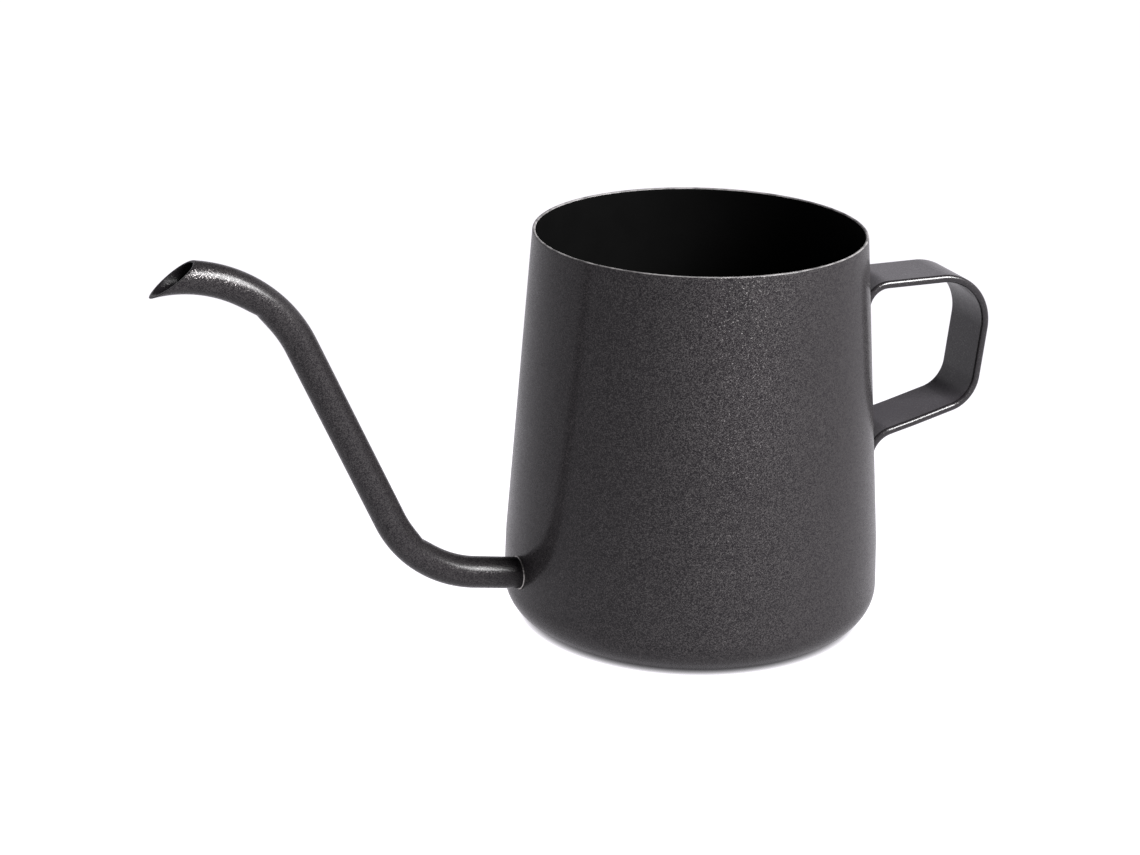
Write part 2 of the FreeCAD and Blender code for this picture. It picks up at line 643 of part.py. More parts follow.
lower_end_z = size("lower_tab_height") - size("strap_width") / 2
lower_tab_outline = new_sketch(handle_strap, "lower_tab_outline", "XZ_Plane")
tab_outline(lower_tab_outline, Vec(size("lower_arm_start"), size("lower_arm_height"), 0), slope,
            size("lower_root_bend"), lower_end_z, {
                "arm_x": "{lower_arm_start} - {strap_thickness} / 2 * sin({lower_arm_slope})",
                "arm_z": "{lower_arm_height} + {strap_thickness} / 2 * cos({lower_arm_slope})",
                "arm_slope": "{lower_arm_slope} - 180",
                "bend": "{lower_root_bend}",
                "end_z": "({lower_tab_height} - {strap_width} / 2)",
            })
tab_sweep("lower_tab", lower_tab_outline)

# Both tabs are trimmed to the strap's width and to round ends, seen from the front.

tab_trim_outline = new_sketch(handle_strap, "tab_trim_outline", "YZ_Plane")
side_y = size("strap_width") / 2
waste_y = side_y + size("tab_trim_margin")
trim_rise = size("tab_trim_rise")


def tab_trim(sketch, prefix, round_z, top_z, round_text, top_text):
    """U-shaped waste round one tab: the inner edge is the tab's outline."""
    low_z = round_z - waste_y
    left_edge = line(sketch, (-side_y, top_z), (-side_y, round_z))
    tip = arc(sketch, (0, round_z), side_y, 180, 360)
    right_edge = line(sketch, (side_y, round_z), (side_y, top_z))
    right_top = line(sketch, (side_y, top_z), (waste_y, top_z))
    right_side = line(sketch, (waste_y, top_z), (waste_y, low_z))
    bottom = line(sketch, (waste_y, low_z), (-waste_y, low_z))
    left_side = line(sketch, (-waste_y, low_z), (-waste_y, top_z))
    left_top = line(sketch, (-waste_y, top_z), (-side_y, top_z))
    smooth(sketch, left_edge, END, tip, START)
    smooth(sketch, tip, END, right_edge, START)
    join(sketch, right_edge, END, right_top, START)
    join(sketch, right_top, END, right_side, START)
    join(sketch, right_side, END, bottom, START)
    join(sketch, bottom, END, left_side, START)
    join(sketch, left_side, END, left_top, START)
    join(sketch, left_top, END, left_edge, START)
    for upright in (left_edge, right_edge, right_side, left_side):
        rule(sketch, "Vertical", upright)
    for level in (right_top, bottom, left_top):
        rule(sketch, "Horizontal", level)
    rule(sketch, "Equal", right_top, left_top)
    rule(sketch, "Horizontal", left_top, END, right_top, START)
    rule(sketch, "PointOnObject", tip, CENTRE, -2)
    set_radius(sketch, tip, prefix + "_round", "{strap_width} / 2")
    set_y(sketch, tip, CENTRE, prefix + "_round_height", round_text)
    set_y(sketch, right_top, START, prefix + "_top", top_text)
    set_length(sketch, right_top, prefix + "_margin", "{tab_trim_margin}")
    set_y(sketch, bottom, END, prefix + "_bottom", round_text + " - {strap_width} / 2 - {tab_trim_margin}")


tab_trim(tab_trim_outline, "upper", size("upper_tab_height"), arm_z + trim_rise,
         "{upper_tab_height}", "{upper_arm_height} + {tab_trim_rise}")
tab_trim(tab_trim_outline, "lower", size("lower_tab_height"), size("lower_arm_height") + trim_rise,
         "{lower_tab_height}", "{lower_arm_height} + {tab_trim_rise}")
tab_cut = handle_strap.newObject("PartDesign::Pocket", "tab_trim")
tab_cut.Profile = tab_trim_outline
tab_cut.Type = "Length"
tab_cut.Reversed = True
tab_cut.setExpression("Length", driven("{tab_trim_depth}"))
cuts(handle_strap, tab_cut)

# Check every object, then write one file per piece.

doc.recompute()
for item in doc.Objects:
    for word in ("Invalid", "Error"):
        if word in item.State:
            raise RuntimeError(item.Name + " is " + word)
    if item.isDerivedFrom("Sketcher::SketchObject") and not item.FullyConstrained:
        raise RuntimeError(item.Name + " is not fully constrained")

os.makedirs("parts", exist_ok=True)
for piece in (kettle_body, spout_tube, spout_weld, handle_strap):
    if piece.Shape.isNull() or not piece.Shape.isValid():
        raise RuntimeError(piece.Label + " has no valid shape")
    if len(piece.Shape.Solids) != 1:
        raise RuntimeError(piece.Label + " is not one solid")
    piece.Shape.exportStep(os.path.join("parts", piece.Label + ".step"))
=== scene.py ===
"""Finished surfaces of a small lidless pouring pot, in a plain studio.

The pot is a tapered cup with a swan-neck spout, a weld line and a strap handle.
"""

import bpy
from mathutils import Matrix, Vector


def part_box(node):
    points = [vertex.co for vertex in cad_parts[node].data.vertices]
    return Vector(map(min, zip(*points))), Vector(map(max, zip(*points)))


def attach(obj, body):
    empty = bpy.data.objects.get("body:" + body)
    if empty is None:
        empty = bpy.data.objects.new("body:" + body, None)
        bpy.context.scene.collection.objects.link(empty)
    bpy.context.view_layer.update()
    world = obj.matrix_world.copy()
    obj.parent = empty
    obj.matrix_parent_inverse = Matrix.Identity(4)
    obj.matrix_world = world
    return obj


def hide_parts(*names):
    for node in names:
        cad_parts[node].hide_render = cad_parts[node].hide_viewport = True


bl_info = {
    "name": "Swan-neck pouring pot",
    "version": (1, 0, 0),
    "blender": (4, 5, 0),
    "location": "View3D > Sidebar > Pouring pot",
    "description": "Builds a coated steel pouring pot and a plain studio round it",
    "category": "Add Mesh",
}

import math

import bmesh
import bpy
import numpy as np
from mathutils import Quaternion, Vector

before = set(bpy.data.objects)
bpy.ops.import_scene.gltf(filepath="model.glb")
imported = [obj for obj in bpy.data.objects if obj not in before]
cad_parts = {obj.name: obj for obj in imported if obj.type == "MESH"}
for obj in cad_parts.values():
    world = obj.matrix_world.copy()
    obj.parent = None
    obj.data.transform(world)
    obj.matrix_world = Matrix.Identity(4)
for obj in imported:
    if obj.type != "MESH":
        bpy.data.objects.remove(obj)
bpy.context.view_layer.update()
CUP_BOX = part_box("kettle_body")
STRAP_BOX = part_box("handle_strap")

MM = 0.001
IMAGE_WIDTH = 1140
FLOOR_GAP = 0.02 * MM


# Settings that a user would change


def linear(code):
    """Linear colour of an sRGB hex code: each channel goes through the sRGB curve backwards."""
    channels = [int(code[i:i + 2], 16) / 255 for i in (0, 2, 4)]
    return tuple(c / 12.92 if c <= 0.04045 else ((c + 0.055) / 1.055) ** 2.4 for c in channels)


def millimetres(name, description, value):
    return bpy.props.FloatProperty(name=name, description=description, default=value * MM, unit="LENGTH")


def degrees(name, description, value):
    return bpy.props.FloatProperty(
        name=name, description=description, default=math.radians(value), subtype="ANGLE")


def plain(name, description, value):
    return bpy.props.FloatProperty(name=name, description=description, default=value)


def colour(name, description, code):
    return bpy.props.FloatVectorProperty(
        name=name, description=description, default=linear(code), subtype="COLOR", min=0, max=1)


class CupSizes(bpy.types.PropertyGroup):
    base_diameter: millimetres("Base diameter", "Widest diameter, just above the base", 2 * CUP_BOX[1].x / MM)
    height: millimetres("Height", "From the table to the rim", CUP_BOX[1].z / MM)
    mouth_diameter: millimetres("Mouth diameter", "Outside diameter of the rim", 74.0)
    lower_taper: degrees("Lower taper", "Lean of the wall's foot", 1.66)
    upper_taper: degrees("Upper taper", "Lean of the wall above its foot", 4.19)
    corner_radius: millimetres("Corner radius", "Rounding between base and wall", 8.0)
    blend_radius: millimetres("Blend radius", "Rounding between the two tapers", 30.0)
    wall: millimetres("Wall", "Thickness of the coated sheet", 0.7)
    foot_diameter: millimetres("Foot diameter", "Inside of the ring that stands on the table", 60.0)
    foot_step: millimetres("Foot step", "Width of the step up to the recessed panel", 2.4)
    recess: millimetres("Recess", "Height of the recessed panel", 1.2)


class SpoutSizes(bpy.types.PropertyGroup):
    diameter: millimetres("Diameter", "Outside of the tube", 7.1)
    wall: millimetres("Wall", "Thickness of the tube's wall", 0.5)
    root_reach: millimetres("Root reach", "Start of the tube's middle line from the pot's axis", 40.0)
    root_height: millimetres("Root height", "Start of the tube's middle line above the table", 13.55)
    root_angle: degrees("Root angle", "Rise of the tube as it leaves the wall", 9.0)
    root_run: millimetres("Root run", "Straight length before the lower bend", 12.7)
    lower_bend: millimetres("Lower bend", "Radius of the lower bend", 26.4)
    rise_angle: degrees("Rise angle", "Slope of the long straight", 65.2)
    rise_length: millimetres("Rise length", "Length of the long straight", 46.2)
    upper_bend: millimetres("Upper bend", "Radius of the upper bend", 30.3)
    mouth_reach: millimetres("Mouth reach", "Middle of the slanted cut from the pot's axis", 118.6)
    mouth_height: millimetres("Mouth height", "Middle of the slanted cut above the table", 90.0)
    mouth_slant: degrees("Mouth slant", "Slope of the cut", 35.7)
    lip_round: millimetres("Lip round", "Broken edge of the cut", 0.1)
    lower_dent: plain("Lower dent", "Share of the lower bend at which its dent lies", 0.64)
    upper_dent: degrees("Upper dent", "Turn of the upper bend at which its dent lies", 24.0)
    pinch_depth: millimetres("Pinch depth", "Dent that bending left on the inside of each bend", 0.5)
    pinch_length: millimetres("Pinch length", "How far each dent runs along the tube", 2.0)
    weld_radius: millimetres("Weld radius", "Half width of the bead round the root", 0.22)


class StrapSizes(bpy.types.PropertyGroup):
    width: millimetres("Width", "Width of the strap", (STRAP_BOX[1].y - STRAP_BOX[0].y) / MM)
    thickness: millimetres("Thickness", "Thickness of the strap", 1.8)
    edge_round: millimetres("Edge round", "Rounding of the strap's long edges", 0.8)
    reach: millimetres("Reach", "Outermost point from the pot's axis", STRAP_BOX[1].x / MM)
    arm_height: millimetres("Arm height", "Middle of the upper arm above the table", 74.45)
    upper_root_bend: millimetres("Upper root bend", "Bend from the upper tab to the arm", 5.2)
    upper_bend: millimetres("Upper bend", "Bend from the arm to the grip", 11.6)
    lower_bend: millimetres("Lower bend", "Bend from the grip to the lower arm", 8.0)
    lower_root_bend: millimetres("Lower root bend", "Bend from the lower arm to its tab", 6.4)
    grip_lean: degrees("Grip lean", "Lean of the grip", 6.56)
    arm_slope: degrees("Arm slope", "Slope of the lower arm", 14.4)
    arm_foot_reach: millimetres("Arm foot reach", "A point of the lower arm from the pot's axis", 48.5)
    arm_foot_height: millimetres("Arm foot height", "The same point above the table", 39.57)
    upper_tab_height: millimetres("Upper tab height", "Middle of the upper tab's round end", 69.0)
    lower_tab_height: millimetres("Lower tab height", "Middle of the lower tab's round end", 32.8)


class Finishes(bpy.types.PropertyGroup):
    coating: colour("Coating", "Body colour of the baked coating", "141214")
    fleck: colour("Fleck", "Metallic flecks in the coating", "413f3f")
    # The strap's lighter ground is painted light on its faces; its edges take the darker coating colour as
    # painted shade.
    strap: colour("Strap", "Body colour of the strap's coating", "2c2a2d")
    # The lining's near-black is partly painted shade inside the cup, darker than the outer enamel.
    lining_and_shade: colour("Lining", "Smooth lining inside the cup", "050505")
    # The rim's lighter grey is a painted highlight for the light line along the rim, where the enamel runs
    # thin.
    rim: colour("Rim", "Grey steel that shows through the thin coating on the rim", "646262")
    steel: colour("Steel", "Bare metal of the weld line", "a19e9b")
    # Real flecks are finer, some 0.05 mm wide; they are drawn coarser so that they show in the render
    fleck_size: millimetres("Fleck size", "Width of one fleck, as drawn", 0.17)


class StageSizes(bpy.types.PropertyGroup):
    floor: colour("Floor", "Reflecting share of the plain pale floor", "323233")
    # The contact shade is a painted shadow: the floor's glow dims where the pot is close.
    contact: millimetres("Contact", "Reach of the shade where the pot meets the floor", 1.5)
    glow: colour("Glow", "Cool white light of the floor and of the studio's walls", "fcf9ff")
    floor_side: millimetres("Floor side", "Side of the square floor", 6000.0)
    azimuth: degrees("Azimuth", "Camera's turn about the pot", -22.5)
    elevation: degrees("Elevation", "Camera's height angle", 19.54)
    roll: degrees("Roll", "Camera's tilt about its own axis", 0.945)
    distance: millimetres("Distance", "Camera to the point it looks at", 631.9)
    aim: bpy.props.FloatVectorProperty(
        name="Aim", description="Point that the camera looks at", subtype="TRANSLATION", unit="LENGTH",
        default=(-25.85 * MM, 10.71 * MM, 42.8 * MM))
    focal_pixels: plain("Focal length", "Focal length in pixels of the photograph's width", 2800.0)
    floor_light: plain("Floor light", "Glow of the floor away from the pot", 1.04)
    # The floor's stronger glow round the pot is a painted pool of light.
    near_floor_light: plain("Near floor light", "Glow of the floor round the pot", 1.3)
    glow_start: millimetres("Glow start", "Radius at which the floor's glow starts to fade", 90.0)
    glow_end: millimetres("Glow end", "Radius at which that glow has faded", 230.0)
    horizon_light: plain("Horizon light", "Brightness of the studio's walls", 1.06)
    horizon_end: degrees("Horizon end", "Height angle at which the bright walls end", 21.0)
    ceiling_light: plain("Ceiling light", "Brightness of the ceiling", 0.04)
    ceiling_start: degrees("Ceiling start", "Height angle at which the ceiling starts", 34.0)
    softbox_turn: degrees("Softbox turn", "Softbox's turn from the camera", 60.0)
    softbox_rise: degrees("Softbox rise", "Softbox's height angle", 37.0)
    softbox_distance: millimetres("Softbox distance", "Softbox to the point the camera looks at", 900.0)
    softbox_width: millimetres("Softbox width", "Width of the softbox", 450.0)
    softbox_height: millimetres("Softbox height", "Height of the softbox", 400.0)
    softbox_power: plain("Softbox power", "Power of the softbox in watts", 36.0)


# Shared geometry


def bent_path(steps, start, heading, runs):
    """Points and headings along straight and round runs.

    A run is a length and a curvature. Moving a distance d along a run of curvature k turns the heading by
    k d, and moves by the chord d sin(k d / 2) / (k d / 2) along the heading half way through that turn.
    """
    lengths = np.array([run[0] for run in runs])
    curvatures = np.array([run[1] for run in runs])

    def chord(angle, curvature, distance):
        half_turn = curvature * distance / 2
        reach = distance * np.sinc(half_turn / np.pi)
        return np.stack([reach * np.cos(angle + half_turn), reach * np.sin(angle + half_turn)], axis=-1)

    starts = np.concatenate([[0.0], np.cumsum(lengths)[:-1]])
    headings = heading + np.concatenate([[0.0], np.cumsum(lengths * curvatures)[:-1]])
    moves = chord(headings, curvatures, lengths)
    corners = np.array(start) + np.concatenate([[[0.0, 0.0]], np.cumsum(moves, axis=0)[:-1]])
    run = np.clip(np.searchsorted(starts, steps, side="right") - 1, 0, len(runs) - 1)
    distance = steps - starts[run]
    points = corners[run] + chord(headings[run], curvatures[run], distance)
    return points, headings[run] + curvatures[run] * distance


def rounded_runs(corners, radii):
    """Runs of a path through rounded corners: each arc takes its radius times tan(turn / 2) off its legs."""
    legs = np.diff(np.array(corners), axis=0)
    headings = np.arctan2(legs[:, 1], legs[:, 0])
    turns = (np.diff(headings) + np.pi) % (2 * np.pi) - np.pi
    trims = np.array(radii) * np.tan(np.abs(turns) / 2)
    straights = np.hypot(legs[:, 0], legs[:, 1]) - np.append(trims, 0) - np.insert(trims, 0, 0)
    runs = [(straights[0], 0.0)]
    for radius, turn, straight in zip(radii, turns, straights[1:]):
        runs.append((radius * abs(turn), math.copysign(1 / radius, turn)))
        runs.append((straight, 0.0))
    return headings[0], runs


def crossing(point_a, heading_a, point_b, heading_b):
    """Point where two lines in the mid plane cross."""
    along = np.array([
        [math.cos(heading_a), -math.cos(heading_b)],
        [math.sin(heading_a), -math.sin(heading_b)],
    ])
    step = np.linalg.solve(along, np.array(point_b) - np.array(point_a))[0]
    return np.array(point_a) + step * along[:, 0]


def root_between(function, low, high):
    """Where a rising function of one array passes nought, by halving the bracket for every entry at once."""
    for _ in range(44):
        middle = (low + high) / 2
        below = function(middle) < 0
        low = np.where(below, middle, low)
        high = np.where(below, high, middle)
    return (low + high) / 2


def grid_quads(index):
    """Quads of a grid of vertex numbers, one per cell."""
    corners = (index[:-1, :-1], index[:-1, 1:], index[1:, 1:], index[1:, :-1])
    return np.stack(corners, axis=-1).reshape(-1, 4)


def closed(index, axis):
    """The grid of vertex numbers with its first line repeated at the end, so that the seam closes."""
    return np.concatenate([index, np.take(index, [0], axis=axis)], axis=axis)


def arc_points(centre, radius, first, last, count):
    """Points on a circle between two angles."""
    angle = np.linspace(first, last, count)
    return np.stack([centre[0] + radius * np.cos(angle), centre[1] + radius * np.sin(angle)], axis=-1)


def new_piece(name, points, faces, node, finishes, finish_of_face=None):
    """One closed, smooth piece that rides on the pot and stands for a node of the frame."""
    mesh = bpy.data.meshes.new(name)
    mesh.from_pydata(points.tolist(), [], faces)
    for finish in finishes:
        mesh.materials.append(finish)
    if finish_of_face is not None:
        mesh.polygons.foreach_set("material_index", finish_of_face)
    work = bmesh.new()
    work.from_mesh(mesh)
    bmesh.ops.remove_doubles(work, verts=work.verts, dist=1e-7)
    bmesh.ops.recalc_face_normals(work, faces=work.faces)
    loose_edges = [edge for edge in work.edges if len(edge.link_faces) != 2]
    if loose_edges:
        raise RuntimeError(f"{name} has {len(loose_edges)} edges that don't join two faces")
    work.to_mesh(mesh)
    work.free()
    mesh.shade_smooth()
    piece = bpy.data.objects.new(name, mesh)
    bpy.context.scene.collection.objects.link(piece)
    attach(piece, "root")
    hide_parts(node)
    return piece


# Cup


ROUND_COLUMNS = 288
HOLE_COLUMNS = 7
HOLE_ROWS = 8
HOLE_REACH = 5.5 * MM
HOLE_CLEARANCE = 0.05 * MM


def cup_side(cup, inset):
    """Half section of one face of the cup from the axis to below the rim, moved inwards by the inset.

    It is a flat panel, a step in the shape of half a cosine wave, a flat foot, a quarter circle, and two
    straight tapers with an arc between them.
    """
    step_end = cup.foot_diameter / 2
    step_start = step_end - cup.foot_step
    corner = np.array([cup.base_diameter / 2 - cup.corner_radius, cup.corner_radius])
    low_out = np.array([math.cos(cup.lower_taper), math.sin(cup.lower_taper)])
    high_out = np.array([math.cos(cup.upper_taper), math.sin(cup.upper_taper)])
    rim = np.array([cup.mouth_diameter / 2, cup.height])
    blend = np.linalg.solve(
        np.array([low_out, high_out]),
        np.array([low_out @ corner + cup.corner_radius, high_out @ rim]) - cup.blend_radius)
    panel = np.stack([np.linspace(0, step_start, 8), np.full(8, cup.recess)], axis=-1)
    wave = np.linspace(0, 1, 14)[1:]
    step = np.stack([step_start + wave * cup.foot_step, cup.recess * (1 + np.cos(np.pi * wave)) / 2], axis=-1)
    foot = np.stack([np.linspace(step_end, corner[0], 5)[1:-1], np.zeros(3)], axis=-1)
    flat = np.concatenate([panel, step, foot]) + np.array([0, inset])
    quarter = arc_points(corner, cup.corner_radius - inset, -math.pi / 2, cup.lower_taper, 26)
    turn = arc_points(blend, cup.blend_radius - inset, cup.lower_taper, cup.upper_taper, 4)
    rim_height = cup.height - cup.wall / 2
    lean = (cup.height - rim_height) * math.tan(cup.upper_taper)
    rim_radius = rim[0] + lean - inset / math.cos(cup.upper_taper)
    return np.concatenate([flat, quarter, turn, [[rim_radius, rim_height]]])


def wall_radius(cup, inset, height):
    """Radius of the wall's face at a height, read off the side's outline above the base."""
    side = cup_side(cup, inset)
    upper = side[side[:, 1] > cup.corner_radius * 0.6]
    return np.interp(height, upper[:, 1], upper[:, 0])


def side_rows(cup, inset, hole_heights):
    """Rows of one face: the base and its corner as drawn, then rows at the hole, and rows up the taper."""
    side = cup_side(cup, inset)
    base = side[(side[:, 1] < hole_heights[0] - 0.1 * MM)]
    top = side[-1, 1]
    taper = np.concatenate([np.linspace(hole_heights[-1], top - 0.5 * MM, 14)[1:], [top]])
    heights = np.concatenate([hole_heights, taper])
    wall = np.stack([wall_radius(cup, inset, heights), heights], axis=-1)
    return np.concatenate([base, wall]), len(base)


def cup_surface(cup, spout):
    """The cup turned about its axis, with the spout's hole through the wall.

    A point is (r cos a, r sin a, z) for a section point (r, z) and a turn a. The section runs out along the
    base, up the wall, over a half-round rim and back down inside. Round the hole a block of cells is left out
    on both faces. It is filled by rings that go in equal steps, in turn and height, from the block's edge to
    the line where the tube meets the wall, and a short sleeve joins the two faces.
    """
    hole_centre = spout.root_height + (cup.base_diameter / 2 - spout.root_reach) * math.tan(spout.root_angle)
    hole_heights = np.linspace(hole_centre - HOLE_REACH, hole_centre + HOLE_REACH, HOLE_ROWS + 1)
    outer, outer_hole = side_rows(cup, 0.0, hole_heights)
    inner, inner_hole = side_rows(cup, cup.wall, hole_heights)
    middle = (outer[-1] + inner[-1]) / 2
    rim = arc_points(middle, cup.wall / 2, cup.upper_taper, cup.upper_taper + math.pi, 13)[1:-1]
    section = np.concatenate([outer, rim, inner[::-1]])
    inner_hole_row = len(section) - 1 - inner_hole - HOLE_ROWS
    turn = np.arange(ROUND_COLUMNS) * 2 * np.pi / ROUND_COLUMNS
    radius = section[1:-1, :1]
    height = np.broadcast_to(section[1:-1, 1:], (len(section) - 2, ROUND_COLUMNS))
    wall = np.stack([radius * np.cos(turn), radius * np.sin(turn), height], axis=-1)
    index = np.arange(wall.shape[0] * ROUND_COLUMNS).reshape(wall.shape[:2])
    poles = np.array([[0, 0, section[0, 1]], [0, 0, section[-1, 1]]])
    low_pole = index.size
    high_pole = low_pole + 1

    quads = grid_quads(closed(index, 1)).reshape(wall.shape[0] - 1, ROUND_COLUMNS, 4)
    lined = np.zeros(quads.shape[:2], dtype=int)
    rim_start = len(outer)
    rim_end = len(outer) + len(rim) - 2
    # The rim's rows take the rim material with its painted highlight.
    lined[rim_start:rim_end] = 2
    lined[rim_end:] = 1
    kept = np.ones(quads.shape[:2], dtype=bool)
    first_column = ROUND_COLUMNS // 2 - HOLE_COLUMNS
    last_column = ROUND_COLUMNS // 2 + HOLE_COLUMNS
    points = [wall.reshape(-1, 3), poles]
    faces = []
    finish = []
    count = high_pole + 1
    sleeve = []
    for row, inset, inside in ((outer_hole - 1, 0.0, 0), (inner_hole_row - 1, cup.wall, 1)):
        kept[row:row + HOLE_ROWS, first_column:last_column] = False
        block = index[row:row + HOLE_ROWS + 1, first_column:last_column + 1]
        edge = np.concatenate([block[0, :-1], block[:-1, -1], block[-1, :0:-1], block[:0:-1, 0]])
        if inside:
            edge = np.concatenate([block[-1, :-1], block[:0:-1, -1], block[0, :0:-1], block[:-1, 0]])
        rim_points = wall.reshape(-1, 3)[edge]
        rim_turn = np.arctan2(-rim_points[:, 1], -rim_points[:, 0])
        angle = np.arctan2(rim_points[:, 1], rim_points[:, 2] - hole_centre)
        hole_radius = spout.diameter / 2 + HOLE_CLEARANCE
        hole_points = tube_at_wall(cup, spout, angle, hole_radius, inset)[0]
        hole_turn = np.arctan2(-hole_points[:, 1], -hole_points[:, 0])
        step = np.linspace(0, 1, 6)[:-1, None]
        ring_turn = hole_turn + step * (rim_turn - hole_turn)
        ring_height = hole_points[:, 2] + step * (rim_points[:, 2] - hole_points[:, 2])
        ring_radius = wall_radius(cup, inset, ring_height)
        rings = np.stack(
            [-ring_radius * np.cos(ring_turn), -ring_radius * np.sin(ring_turn), ring_height], axis=-1)
        ring_index = count + np.arange(rings.shape[0] * rings.shape[1]).reshape(rings.shape[:2])
        count += ring_index.size
        points.append(rings.reshape(-1, 3))
        patch = grid_quads(closed(np.concatenate([ring_index, edge[None]]), 1))
        faces += patch.tolist()
        finish += [inside] * len(patch)
        sleeve.append(ring_index[0])
    sleeve_quads = grid_quads(closed(np.array(sleeve), 1))
    faces += sleeve_quads.tolist()
    finish += [1] * len(sleeve_quads)
    faces += quads[kept].tolist()
    finish += lined[kept].tolist()
    for pole, ring, inside in ((low_pole, index[0], 0), (high_pole, index[-1], 1)):
        around = np.append(ring, ring[0])
        fan = np.stack([np.full(ROUND_COLUMNS, pole), around[:-1], around[1:]], axis=-1)
        faces += fan.tolist()
        finish += [inside] * ROUND_COLUMNS
    return np.concatenate(points), faces, finish


# Spout and its weld line


TUBE_COLUMNS = 72
TUBE_ROWS = 300
BORE_ROWS = 150
SWEEP_SPARE = 10 * MM
DENT_SOFTNESS = 0.15
LIP_SHARE = 0.3


def spout_path(spout, steps):
    """Middle line of the spout: a short straight, the lower bend, the long straight and the upper bend."""
    turn_up = spout.rise_angle - spout.root_angle
    runs = [
        (spout.root_run, 0.0),
        (spout.lower_bend * turn_up, -1 / spout.lower_bend),
        (spout.rise_length, 0.0),
        (spout.upper_bend * math.pi / 2, 1 / spout.upper_bend),
    ]
    return bent_path(steps, (-spout.root_reach, spout.root_height), math.pi - spout.root_angle, runs)


def spout_lengths(spout):
    """Lengths along the middle line at which the dents of the two bends lie."""
    bend = spout.lower_bend * (spout.rise_angle - spout.root_angle)
    lower_dent = spout.root_run + bend * spout.lower_dent
    upper_dent = spout.root_run + bend + spout.rise_length + spout.upper_bend * spout.upper_dent
    return lower_dent, upper_dent


def tube_points(spout, steps, angle, radius):
    """Tube about the middle line: the line's point plus the radius times (cos b up + sin b across).

    Bending left a dent on the inside of each bend. It takes away the pinch depth times
    exp(-distance / length), fading round the tube with the square of the cosine. The distance is softened by
    a small share of the length.
    """
    line, heading = spout_path(spout, steps)
    lower_dent, upper_dent = spout_lengths(spout)
    inside_lower = np.clip(np.cos(angle), 0, 1) ** 2
    inside_upper = np.clip(-np.cos(angle), 0, 1) ** 2
    soft = DENT_SOFTNESS * spout.pinch_length
    fade_lower = np.exp(-np.hypot(steps - lower_dent, soft) / spout.pinch_length)
    fade_upper = np.exp(-np.hypot(steps - upper_dent, soft) / spout.pinch_length)
    dented = radius - spout.pinch_depth * (inside_lower * fade_lower + inside_upper * fade_upper)
    up = dented * np.cos(angle)
    x = line[..., 0] + up * np.sin(heading)
    z = line[..., 1] - up * np.cos(heading)
    return np.stack([x, dented * np.sin(angle), z], axis=-1)


def tube_at_wall(cup, spout, angle, radius, inset):
    """Points where lines along the tube meet the wall's face, and how far along the tube they are."""

    def outside_wall(steps):
        point = tube_points(spout, steps, angle, radius)
        return np.hypot(point[..., 0], point[..., 1]) - wall_radius(cup, inset, point[..., 2])

    low = np.full(angle.shape, -SWEEP_SPARE)
    steps = root_between(outside_wall, low, -low)
    return tube_points(spout, steps, angle, radius), steps


def tube_at_mouth(spout, angle, radius, short):
    """How far along the tube its lines meet the slanted cut, moved back by a short distance."""
    across = np.array([-math.sin(spout.mouth_slant), math.cos(spout.mouth_slant)])
    cut = np.array([-spout.mouth_reach, spout.mouth_height])

    def past_cut(steps):
        point = tube_points(spout, steps, angle, radius)
        return (point[..., [0, 2]] - cut) @ across + short

    start = spout.root_run + spout.lower_bend + spout.rise_length
    low = np.full(angle.shape, start)
    return root_between(past_cut, low, low + spout.upper_bend * math.radians(110))


def spout_surface(cup, spout):
    """The tube as one closed skin: outside from wall to mouth, over the cut edge, and back along the bore.

    Each line along the tube is divided evenly between the wall's inner face and the slanted cut.
    """
    angle = np.linspace(0, 2 * np.pi, TUBE_COLUMNS, endpoint=False)
    outer = spout.diameter / 2
    bore = outer - spout.wall
    lip = spout.lip_round
    outer_start = tube_at_wall(cup, spout, angle, outer, cup.wall)[1]
    bore_start = tube_at_wall(cup, spout, angle, bore, cup.wall)[1]
    outer_end = tube_at_mouth(spout, angle, outer, lip)
    bore_end = tube_at_mouth(spout, angle, bore, lip)
    out = np.linspace(0, 1, TUBE_ROWS)[:, None]
    back = np.linspace(1, 0, BORE_ROWS)[:, None]
    steps = np.concatenate([
        outer_start + out * (outer_end - outer_start),
        tube_at_mouth(spout, angle, outer - lip * LIP_SHARE, lip * LIP_SHARE)[None],
        tube_at_mouth(spout, angle, outer - lip, 0.0)[None],
        tube_at_mouth(spout, angle, bore + lip, 0.0)[None],
        tube_at_mouth(spout, angle, bore + lip * LIP_SHARE, lip * LIP_SHARE)[None],
        bore_start + back * (bore_end - bore_start),
    ])
    radii = np.concatenate([
        np.full(TUBE_ROWS, outer),
        [outer - lip * LIP_SHARE, outer - lip, bore + lip, bore + lip * LIP_SHARE],
        np.full(BORE_ROWS, bore),
    ])[:, None]
    points = tube_points(spout, steps, angle, radii)
    index = np.arange(points.shape[0] * TUBE_COLUMNS).reshape(points.shape[:2])
    quads = grid_quads(closed(closed(index, 0), 1))
    # Rows in the bore take the darker bore material: painted shade inside the tube.
    in_bore = np.arange(len(index)) > TUBE_ROWS + 2
    finish = np.repeat(in_bore.astype(int), TUBE_COLUMNS)
    return points.reshape(-1, 3), quads.tolist(), finish.tolist()


WELD_COLUMNS = 240
WELD_SIDES = 20


